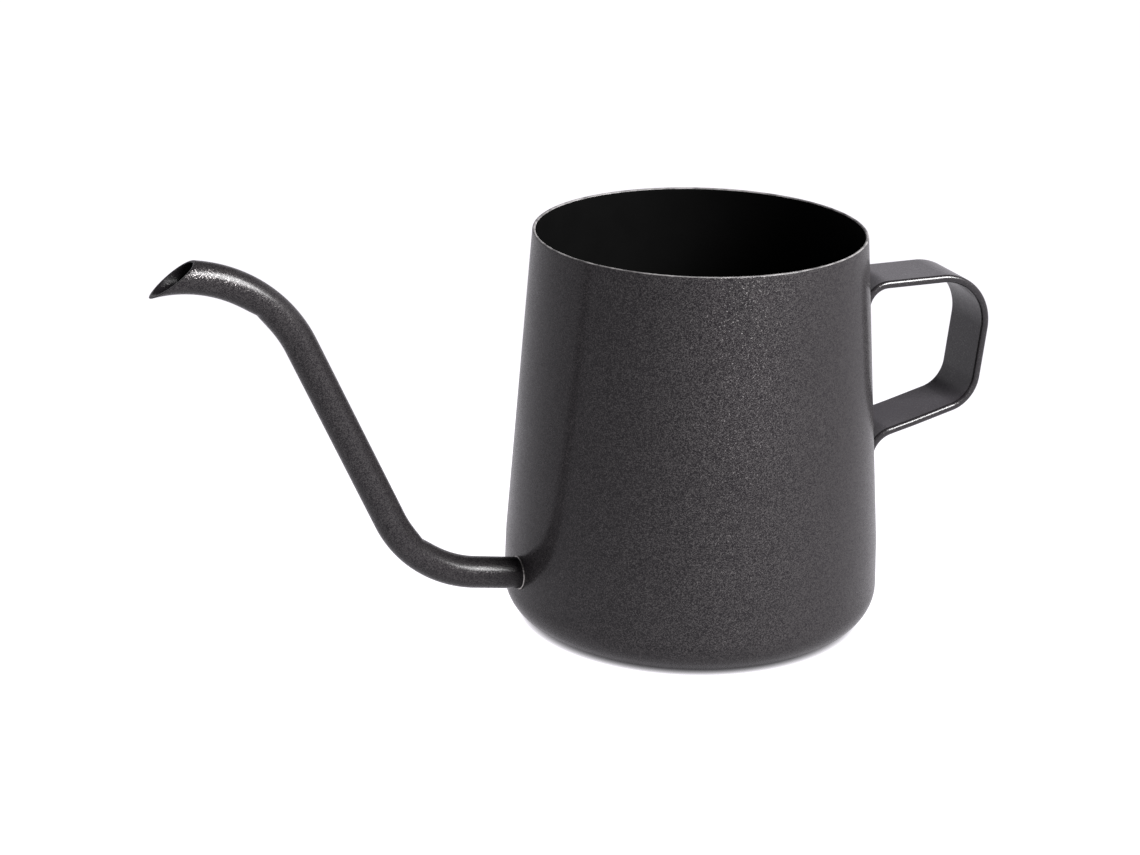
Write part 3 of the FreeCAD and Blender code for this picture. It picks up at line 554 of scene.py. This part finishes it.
def weld_surface(cup, spout):
    """A thin bead where the tube meets the wall: a ring of circles whose radius ripples with sines."""
    angle = np.linspace(0, 2 * np.pi, WELD_COLUMNS, endpoint=False)
    corner, steps = tube_at_wall(cup, spout, angle, spout.diameter / 2, 0.0)
    heading = spout_path(spout, steps)[1]
    from_tube = np.stack(
        [np.cos(angle) * np.sin(heading), np.sin(angle), -np.cos(angle) * np.cos(heading)], axis=-1)
    turn = np.arctan2(corner[:, 1], corner[:, 0])
    lean = np.full(angle.shape, cup.lower_taper)
    from_wall = np.stack(
        [np.cos(lean) * np.cos(turn), np.cos(lean) * np.sin(turn), np.sin(lean)], axis=-1)
    ripple = 0.07 * np.sin(34 * angle) + 0.09 * np.sin(5 * angle + 0.7) + 0.06 * np.sin(11 * angle + 2.1)
    bead = spout.weld_radius * (1 + ripple)[:, None, None]
    round_angle = np.linspace(0, 2 * np.pi, WELD_SIDES, endpoint=False)[None, :, None]
    reach = np.cos(round_angle) * from_tube[:, None] + np.sin(round_angle) * from_wall[:, None]
    points = corner[:, None] + bead * reach
    index = np.arange(WELD_COLUMNS * WELD_SIDES).reshape(WELD_COLUMNS, WELD_SIDES)
    return points.reshape(-1, 3), grid_quads(closed(closed(index, 0), 1)).tolist()


# Handle


STRAP_ROWS = 260
STRAP_LIFT = 0.03 * MM
WRAP_FADE = 7 * MM


def strap_corners(cup, strap):
    """Corner points of the strap's middle line: tab, arm, grip, lower arm and lower tab."""
    half = strap.thickness / 2
    tab_radius = cup.mouth_diameter / 2 + (half + STRAP_LIFT) / math.cos(cup.upper_taper)
    tab_top = (tab_radius, cup.height)
    wall_heading = math.pi / 2 + cup.upper_taper
    arm = (0.0, strap.arm_height)
    bend_centre = np.array([strap.reach - strap.upper_bend - half, strap.arm_height - strap.upper_bend])
    grip = bend_centre + strap.upper_bend * np.array([math.cos(strap.grip_lean), -math.sin(strap.grip_lean)])
    grip_heading = -math.pi / 2 - strap.grip_lean
    foot = (strap.arm_foot_reach, strap.arm_foot_height)
    upper_end = crossing(tab_top, wall_heading, (0.0, strap.upper_tab_height - strap.width / 2), 0.0)
    lower_end = crossing(tab_top, wall_heading, (0.0, strap.lower_tab_height - strap.width / 2), 0.0)
    return [
        upper_end,
        crossing(tab_top, wall_heading, arm, 0.0),
        crossing(arm, 0.0, grip, grip_heading),
        crossing(grip, grip_heading, foot, strap.arm_slope),
        crossing(foot, strap.arm_slope, tab_top, wall_heading),
        lower_end,
    ]


def strap_section(strap):
    """Round-edged section as three lists: share of the half width, distance in from the edge, and height."""
    half = strap.thickness / 2
    edge = strap.edge_round
    across = np.concatenate([[1, 0.97], np.linspace(0.9, -0.9, 13), [-0.97, -1]])
    corner = np.linspace(0, np.pi / 2, 7)[1:]
    inset = edge * (1 - np.sin(corner))
    rise = half - edge * (1 - np.cos(corner))
    side_inset = np.concatenate([inset, inset[::-1], [edge]])[:-1]
    side_rise = np.concatenate([rise, -rise[::-1]])
    flat = len(across)
    shares = np.concatenate([across, np.full(len(side_rise), -1), across[::-1], np.full(len(side_rise), 1)])
    insets = np.concatenate([np.full(flat, edge), side_inset, np.full(flat, edge), side_inset])
    heights = np.concatenate([np.full(flat, half), side_rise, np.full(flat, -half), -side_rise])
    return shares, insets, heights


def strap_surface(cup, strap):
    """The strap as one closed skin: a round-edged section carried along the bent middle line.

    The ends are half round: the half width at a distance d from an end is that of a half circle of the
    strap's width, moved in with the edge rounding. Near the wall each point moves in by r - sqrt(r r - y y),
    so the tabs lie on the round wall.
    """
    corners = strap_corners(cup, strap)
    radii = [strap.upper_root_bend, strap.upper_bend, strap.lower_bend, strap.lower_root_bend]
    heading, runs = rounded_runs(corners, radii)
    total = sum(run[0] for run in runs)
    half_width = strap.width / 2
    cap = half_width * (1 - np.cos(np.linspace(0, np.pi / 2, 16)))
    middle = np.linspace(half_width, total - half_width, STRAP_ROWS)[1:-1]
    share_along = np.concatenate([cap, middle, (total - cap)[::-1]]) / total
    shares, insets, heights = strap_section(strap)
    steps = insets + share_along[:, None] * (total - 2 * insets)
    to_end = np.minimum(np.minimum(steps, total - steps), half_width)
    width = np.sqrt(np.maximum((half_width - insets) ** 2 - (half_width - to_end) ** 2, 0))
    across = shares * width
    line, turned = bent_path(steps, corners[0], heading, runs)
    x = line[..., 0] - heights * np.sin(turned)
    z = line[..., 1] + heights * np.cos(turned)
    root_end = runs[0][0] + runs[1][0]
    foot_start = total - runs[-1][0] - runs[-2][0]
    past_root = np.clip((np.minimum(foot_start - steps, steps - root_end)) / WRAP_FADE, 0, 1)
    wrap = 1 - past_root * past_root * (3 - 2 * past_root)
    x = x - wrap * (x - np.sqrt(x * x - across * across))
    points = np.stack([x, across, z], axis=-1)
    index = np.arange(points.shape[0] * points.shape[1]).reshape(points.shape[:2])
    # Faces on the rounded edges take the second, darker material: painted shade on the strap's edges.
    rounded = insets < strap.edge_round * 0.999
    shaded_edge_columns = (rounded | np.roll(rounded, -1)).astype(int)
    finish = np.tile(shaded_edge_columns, len(index) - 1)
    return points.reshape(-1, 3), grid_quads(closed(index, 1)).tolist(), finish.tolist()


# Materials


def add_node(tree, kind, values=None, **settings):
    """Adds a node, applies its settings, and sets or links each input that is given."""
    made = tree.nodes.new(kind)
    for name, value in settings.items():
        setattr(made, name, value)
    for key, value in (values or {}).items():
        if isinstance(value, bpy.types.NodeSocket):
            tree.links.new(value, made.inputs[key])
        else:
            made.inputs[key].default_value = value
    return made


def new_material(name):
    material = bpy.data.materials.new(name)
    material.use_nodes = True
    material.node_tree.nodes.clear()
    return material, material.node_tree


CLOUD_SIZE = 14 * MM
PEEL_SIZE = 0.9 * MM
PEEL_DEPTH = 0.02 * MM
LINING_CLOUD_SIZE = 6 * MM
LINING_GRAIN_SIZE = 0.5 * MM
LINING_GRAIN_DEPTH = 0.02 * MM
RIM_PATCH_SIZE = 3 * MM
WELD_SPOT_SIZE = 1.1 * MM
WELD_GRAIN_SIZE = 0.2 * MM
WELD_GRAIN_DEPTH = 0.03 * MM
STAIN_SHARE = 0.25
FLECK_CONTRAST = 1.6
SATIN_SPREAD = 0.04

# Look of each coated face: share of flecks, their tilt, roughness and brightness when seen along the surface,
# then the clear top layer's weight, roughness and refraction
CUP_COAT = dict(flecks=0.8, tilt=0.5, satin=0.45, limb=0.4, coat=0.34, coat_roughness=0.17, coat_ior=1.4)
SPOUT_COAT = dict(flecks=0.8, tilt=0.35, satin=0.31, limb=0.1, coat=0.35, coat_roughness=0.24, coat_ior=1.4)
# Few flecks keep the bore darker: painted shade inside the tube.
BORE_SHADE_COAT = dict(flecks=0.1, tilt=0.2, satin=0.5, limb=0.5, coat=0.25, coat_roughness=0.35, coat_ior=1.5)
STRAP_COAT = dict(flecks=0.1, tilt=0.2, satin=0.46, limb=1.0, coat=0.35, coat_roughness=0.2, coat_ior=1.5)
# The edges' darker coating colour is painted shade.
EDGE_SHADE_COAT = dict(flecks=0.1, tilt=0.2, satin=0.46, limb=1.0, coat=0.6, coat_roughness=0.2, coat_ior=1.5)


def fleck_coating(finishes, name, ground, flecks, tilt, satin, limb, coat, coat_roughness, coat_ior):
    """Baked stove enamel with metal flecks: dark and satin, with a fine sparkle under a clear top layer.

    Each fleck is one cell of a cell pattern. It is metal, tilted at random, so single flecks catch a light
    that the smooth top layer does not mirror. The top layer gives the soft reflections and the bright edge
    where one looks along the surface.
    """
    material, tree = new_material(name)
    place = add_node(tree, "ShaderNodeTexCoord").outputs["Object"]
    cells = add_node(tree, "ShaderNodeTexVoronoi", {"Vector": place, "Scale": 1 / finishes.fleck_size})
    chance = add_node(tree, "ShaderNodeSeparateColor", {"Color": cells.outputs["Color"]}).outputs["Red"]
    fleck = add_node(tree, "ShaderNodeMapRange", {
        "Value": chance, "From Min": 1 - flecks, "From Max": 1.0, "To Min": 0.0, "To Max": 1.0})
    sharpened = add_node(tree, "ShaderNodeMath", {0: fleck.outputs[0], 1: FLECK_CONTRAST}, operation="POWER")
    bright = sharpened.outputs[0]
    middled = add_node(tree, "ShaderNodeVectorMath", {
        0: cells.outputs["Color"], 1: (0.5, 0.5, 0.5)}, operation="SUBTRACT")
    leaned = add_node(tree, "ShaderNodeVectorMath", {0: middled.outputs[0], "Scale": tilt}, operation="SCALE")
    normal = add_node(tree, "ShaderNodeNewGeometry").outputs["Normal"]
    tipped = add_node(tree, "ShaderNodeVectorMath", {0: normal, 1: leaned.outputs[0]}, operation="ADD")
    facing = add_node(tree, "ShaderNodeVectorMath", {0: tipped.outputs[0]}, operation="NORMALIZE")
    tint = add_node(tree, "ShaderNodeMix", {
        0: bright, 6: (*ground, 1), 7: (*finishes.fleck, 1)}, data_type="RGBA")
    cloud = add_node(tree, "ShaderNodeTexNoise", {"Vector": place, "Scale": 1 / CLOUD_SIZE, "Detail": 3.0})
    roughness = add_node(tree, "ShaderNodeMapRange", {
        "Value": cloud.outputs["Fac"], "From Min": 0.3, "From Max": 0.7,
        "To Min": satin - SATIN_SPREAD, "To Max": satin + SATIN_SPREAD})
    peel = add_node(tree, "ShaderNodeTexNoise", {"Vector": place, "Scale": 1 / PEEL_SIZE, "Detail": 2.0})
    skin = add_node(tree, "ShaderNodeBump", {
        "Height": peel.outputs["Fac"], "Strength": 0.25, "Distance": PEEL_DEPTH})
    shader = add_node(tree, "ShaderNodeBsdfPrincipled", {
        "Base Color": tint.outputs[2], "Metallic": bright, "Roughness": roughness.outputs[0],
        "Normal": facing.outputs[0], "Specular IOR Level": 0.06, "Specular Tint": (limb, limb, limb, 1),
        "Coat Weight": coat,
        "Coat Roughness": coat_roughness, "Coat IOR": coat_ior, "Coat Normal": skin.outputs[0]})
    add_node(tree, "ShaderNodeOutputMaterial", {"Surface": shader.outputs[0]})
    return material


def shaded_lining(finishes):
    """Smooth black stove enamel inside the cup, with a dull gloss and faint cloudiness: nearly black, darker
    than the outer enamel, partly as painted shade inside the cup.
    """
    material, tree = new_material("black_lining_painted_shade")
    place = add_node(tree, "ShaderNodeTexCoord").outputs["Object"]
    cloud = add_node(tree, "ShaderNodeTexNoise", {
        "Vector": place, "Scale": 1 / LINING_CLOUD_SIZE, "Detail": 4.0})
    roughness = add_node(tree, "ShaderNodeMapRange", {
        "Value": cloud.outputs["Fac"], "From Min": 0.3, "From Max": 0.7, "To Min": 0.5, "To Max": 0.62})
    grain = add_node(tree, "ShaderNodeTexNoise", {
        "Vector": place, "Scale": 1 / LINING_GRAIN_SIZE, "Detail": 2.0})
    skin = add_node(tree, "ShaderNodeBump", {
        "Height": grain.outputs["Fac"], "Strength": 0.3, "Distance": LINING_GRAIN_DEPTH})
    shader = add_node(tree, "ShaderNodeBsdfPrincipled", {
        "Base Color": (*finishes.lining_and_shade, 1), "Roughness": roughness.outputs[0], "Normal": skin.outputs[0],
        "Specular IOR Level": 0.02})
    add_node(tree, "ShaderNodeOutputMaterial", {"Surface": shader.outputs[0]})
    return material


def rim_painted_highlight(finishes):
    """Cut rim of the drawn cup, where the baked enamel runs thin: its lighter grey is a painted highlight,
    the fine light line along the rim.
    """
    material, tree = new_material("rim_enamel_painted_highlight")
    place = add_node(tree, "ShaderNodeTexCoord").outputs["Object"]
    patches = add_node(tree, "ShaderNodeTexNoise", {
        "Vector": place, "Scale": 1 / RIM_PATCH_SIZE, "Detail": 3.0})
    highlight_share = add_node(tree, "ShaderNodeMapRange", {
        "Value": patches.outputs["Fac"], "From Min": 0.35, "From Max": 0.6, "To Min": 0.3, "To Max": 1.0})
    # Painted highlight: the lighter grey is mixed into the enamel in patches along the rim.
    tint = add_node(tree, "ShaderNodeMix", {
        0: highlight_share.outputs[0], 6: (*finishes.coating, 1), 7: (*finishes.rim, 1)}, data_type="RGBA")
    shader = add_node(tree, "ShaderNodeBsdfPrincipled", {
        "Base Color": tint.outputs[2], "Roughness": 0.55, "Specular IOR Level": 0.3})
    add_node(tree, "ShaderNodeOutputMaterial", {"Surface": shader.outputs[0]})
    return material


def bare_weld(finishes):
    """Bare stainless weld line, wire-brushed: grey metal with bright ripples and darker heat stains."""
    material, tree = new_material("brushed_stainless_weld")
    place = add_node(tree, "ShaderNodeTexCoord").outputs["Object"]
    spots = add_node(tree, "ShaderNodeTexNoise", {
        "Vector": place, "Scale": 1 / WELD_SPOT_SIZE, "Detail": 3.0})
    shade = add_node(tree, "ShaderNodeMapRange", {
        "Value": spots.outputs["Fac"], "From Min": 0.35, "From Max": 0.65, "To Min": 0.0, "To Max": 1.0})
    dark = tuple(STAIN_SHARE * channel for channel in finishes.steel)
    tint = add_node(tree, "ShaderNodeMix", {
        0: shade.outputs[0], 6: (*dark, 1), 7: (*finishes.steel, 1)}, data_type="RGBA")
    grain = add_node(tree, "ShaderNodeTexNoise", {
        "Vector": place, "Scale": 1 / WELD_GRAIN_SIZE, "Detail": 2.0})
    skin = add_node(tree, "ShaderNodeBump", {
        "Height": grain.outputs["Fac"], "Strength": 0.4, "Distance": WELD_GRAIN_DEPTH})
    shader = add_node(tree, "ShaderNodeBsdfPrincipled", {
        "Base Color": tint.outputs[2], "Metallic": 1.0, "Roughness": 0.34, "Normal": skin.outputs[0]})
    add_node(tree, "ShaderNodeOutputMaterial", {"Surface": shader.outputs[0]})
    return material


# Operators


class POT_OT_cup(bpy.types.Operator):
    """Build the tapered cup with its round rim, recessed base and spout hole"""
    bl_idname = "pot.cup"
    bl_label = "Cup"

    def execute(self, context):
        scene = context.scene
        points, faces, finish = cup_surface(scene.pot_cup, scene.pot_spout)
        finishes = scene.pot_finishes
        coating = fleck_coating(finishes, "fleck_enamel_cup", finishes.coating, **CUP_COAT)
        finish_list = [coating, shaded_lining(finishes), rim_painted_highlight(finishes)]
        new_piece("cup", points, faces, "kettle_body", finish_list, finish)
        return {"FINISHED"}


class POT_OT_spout(bpy.types.Operator):
    """Build the bent spout tube with its bore, slanted mouth and bending dents"""
    bl_idname = "pot.spout"
    bl_label = "Spout"

    def execute(self, context):
        scene = context.scene
        points, faces, finish = spout_surface(scene.pot_cup, scene.pot_spout)
        finishes = scene.pot_finishes
        coating = fleck_coating(finishes, "fleck_enamel_spout", finishes.coating, **SPOUT_COAT)
        # The bore's darker enamel is painted shade inside the tube.
        bore = fleck_coating(finishes, "bore_enamel_painted_shade", finishes.coating, **BORE_SHADE_COAT)
        new_piece("swan_neck", points, faces, "spout_tube", [coating, bore], finish)
        return {"FINISHED"}


class POT_OT_weld(bpy.types.Operator):
    """Build the thin weld line round the spout's root"""
    bl_idname = "pot.weld"
    bl_label = "Weld line"

    def execute(self, context):
        scene = context.scene
        points, faces = weld_surface(scene.pot_cup, scene.pot_spout)
        new_piece("weld_line", points, faces, "spout_weld", [bare_weld(scene.pot_finishes)])
        return {"FINISHED"}


class POT_OT_strap(bpy.types.Operator):
    """Build the bent strap handle with its round-ended tabs"""
    bl_idname = "pot.strap"
    bl_label = "Strap handle"

    def execute(self, context):
        scene = context.scene
        points, faces, finish = strap_surface(scene.pot_cup, scene.pot_strap)
        finishes = scene.pot_finishes
        # Faces in the lighter strap colour are painted light; edges in the darker coating colour are painted
        # shade.
        coating = fleck_coating(finishes, "strap_faces_painted_light", finishes.strap, **STRAP_COAT)
        edge = fleck_coating(finishes, "strap_edges_painted_shade", finishes.coating, **EDGE_SHADE_COAT)
        new_piece("strap", points, faces, "handle_strap", [coating, edge], finish)
        return {"FINISHED"}


def area_light(name, place, target, width, height, power):
    lamp = bpy.data.lights.new(name, "AREA")
    lamp.shape = "RECTANGLE"
    lamp.size = width
    lamp.size_y = height
    lamp.energy = power
    light = bpy.data.objects.new(name, lamp)
    light.location = place
    light.rotation_mode = "QUATERNION"
    light.rotation_quaternion = (Vector(target) - Vector(place)).to_track_quat("-Z", "Y")
    light.visible_camera = False
    bpy.context.scene.collection.objects.link(light)


def around(target, azimuth, elevation, distance):
    """Point at a distance from a target, at an azimuth and an elevation. Azimuth 0 lies along -Y."""
    flat = distance * math.cos(elevation)
    rise = distance * math.sin(elevation)
    return Vector(target) + Vector((flat * math.sin(azimuth), -flat * math.cos(azimuth), rise))


def studio_world(stage):
    """Studio round the pot: white sweep near the horizon, dark ceiling above."""
    world = bpy.data.worlds.new("studio")
    world.use_nodes = True
    tree = world.node_tree
    tree.nodes.clear()
    direction = add_node(tree, "ShaderNodeTexCoord").outputs["Generated"]
    height = add_node(tree, "ShaderNodeSeparateXYZ", {0: direction}).outputs["Z"]
    light = add_node(tree, "ShaderNodeMapRange", {
        "Value": height, "From Min": math.sin(stage.horizon_end), "From Max": math.sin(stage.ceiling_start),
        "To Min": stage.horizon_light, "To Max": stage.ceiling_light}, interpolation_type="SMOOTHSTEP")
    back = add_node(tree, "ShaderNodeBackground", {"Color": (*stage.glow, 1), "Strength": light.outputs[0]})
    add_node(tree, "ShaderNodeOutputWorld", {"Surface": back.outputs[0]})
    return world


def floor_paint(stage):
    """Opal light table: it glows white, with a painted pool of light round the pot and a painted contact
    shadow under the pot's edge.
    """
    material, tree = new_material("opal_light_table")
    place = add_node(tree, "ShaderNodeTexCoord").outputs["Object"]
    reach = add_node(tree, "ShaderNodeVectorMath", {0: place}, operation="LENGTH").outputs["Value"]
    light = add_node(tree, "ShaderNodeMapRange", {
        "Value": reach, "From Min": stage.glow_start, "From Max": stage.glow_end,
        "To Min": stage.near_floor_light, "To Max": stage.floor_light}, interpolation_type="SMOOTHSTEP")
    # Painted contact shadow: the glow dims where the pot is near.
    contact_shade_share = add_node(tree, "ShaderNodeAmbientOcclusion", {"Distance": stage.contact})
    glow = add_node(tree, "ShaderNodeMath", {
        0: light.outputs[0], 1: contact_shade_share.outputs["AO"]}, operation="MULTIPLY")
    shader = add_node(tree, "ShaderNodeBsdfPrincipled", {
        "Base Color": (*stage.floor, 1), "Roughness": 0.9, "Specular IOR Level": 0.0,
        "Emission Color": (*stage.glow, 1), "Emission Strength": glow.outputs[0]})
    add_node(tree, "ShaderNodeOutputMaterial", {"Surface": shader.outputs[0]})
    return material


class POT_OT_stage(bpy.types.Operator):
    """Build the plain floor, the soft studio light and the camera"""
    bl_idname = "pot.stage"
    bl_label = "Studio"

    def execute(self, context):
        scene = context.scene
        stage = scene.pot_stage
        side = np.linspace(-stage.floor_side / 2, stage.floor_side / 2, 9)
        across, along = np.meshgrid(side, side)
        points = np.stack([across, along, np.full(across.shape, -FLOOR_GAP)], axis=-1).reshape(-1, 3)
        mesh = bpy.data.meshes.new("floor")
        index = np.arange(across.size).reshape(across.shape)
        mesh.from_pydata(points.tolist(), [], grid_quads(index).tolist())
        mesh.materials.append(floor_paint(stage))
        floor = bpy.data.objects.new("floor", mesh)
        scene.collection.objects.link(floor)

        scene.world = studio_world(stage)
        scene.view_settings.view_transform = "Standard"
        aim = Vector(stage.aim)
        right = around(aim, stage.azimuth + stage.softbox_turn, stage.softbox_rise, stage.softbox_distance)
        area_light(
            "right_softbox", right, aim, stage.softbox_width, stage.softbox_height, stage.softbox_power)

        lens = bpy.data.cameras.new("camera")
        lens.lens = stage.focal_pixels * lens.sensor_width / IMAGE_WIDTH
        camera = bpy.data.objects.new("camera", lens)
        camera.location = around(aim, stage.azimuth, stage.elevation, stage.distance)
        camera.rotation_mode = "QUATERNION"
        level = (aim - camera.location).to_track_quat("-Z", "Y")
        camera.rotation_quaternion = level @ Quaternion((0, 0, 1), stage.roll)
        scene.collection.objects.link(camera)
        scene.camera = camera
        return {"FINISHED"}


class POT_PT_sidebar(bpy.types.Panel):
    """Lists the pot's pieces and the studio"""
    bl_idname = "POT_PT_sidebar"
    bl_label = "Pouring pot"
    bl_space_type = "VIEW_3D"
    bl_region_type = "UI"
    bl_category = "Pouring pot"

    def draw(self, context):
        for operator in OPERATORS:
            self.layout.operator(operator.bl_idname)


SETTINGS = {
    "pot_cup": CupSizes,
    "pot_spout": SpoutSizes,
    "pot_strap": StrapSizes,
    "pot_finishes": Finishes,
    "pot_stage": StageSizes,
}
OPERATORS = (POT_OT_cup, POT_OT_spout, POT_OT_weld, POT_OT_strap, POT_OT_stage)
CLASSES = (*SETTINGS.values(), *OPERATORS, POT_PT_sidebar)


def register():
    for item in CLASSES:
        bpy.utils.register_class(item)
    for name, group in SETTINGS.items():
        setattr(bpy.types.Scene, name, bpy.props.PointerProperty(type=group))


def unregister():
    for name in SETTINGS:
        delattr(bpy.types.Scene, name)
    for item in reversed(CLASSES):
        bpy.utils.unregister_class(item)


def main():
    register()
    bpy.ops.pot.cup()
    bpy.ops.pot.spout()
    bpy.ops.pot.weld()
    bpy.ops.pot.strap()
    bpy.ops.pot.stage()
    bpy.context.view_layer.update()


if __name__ == "__main__":
    main()
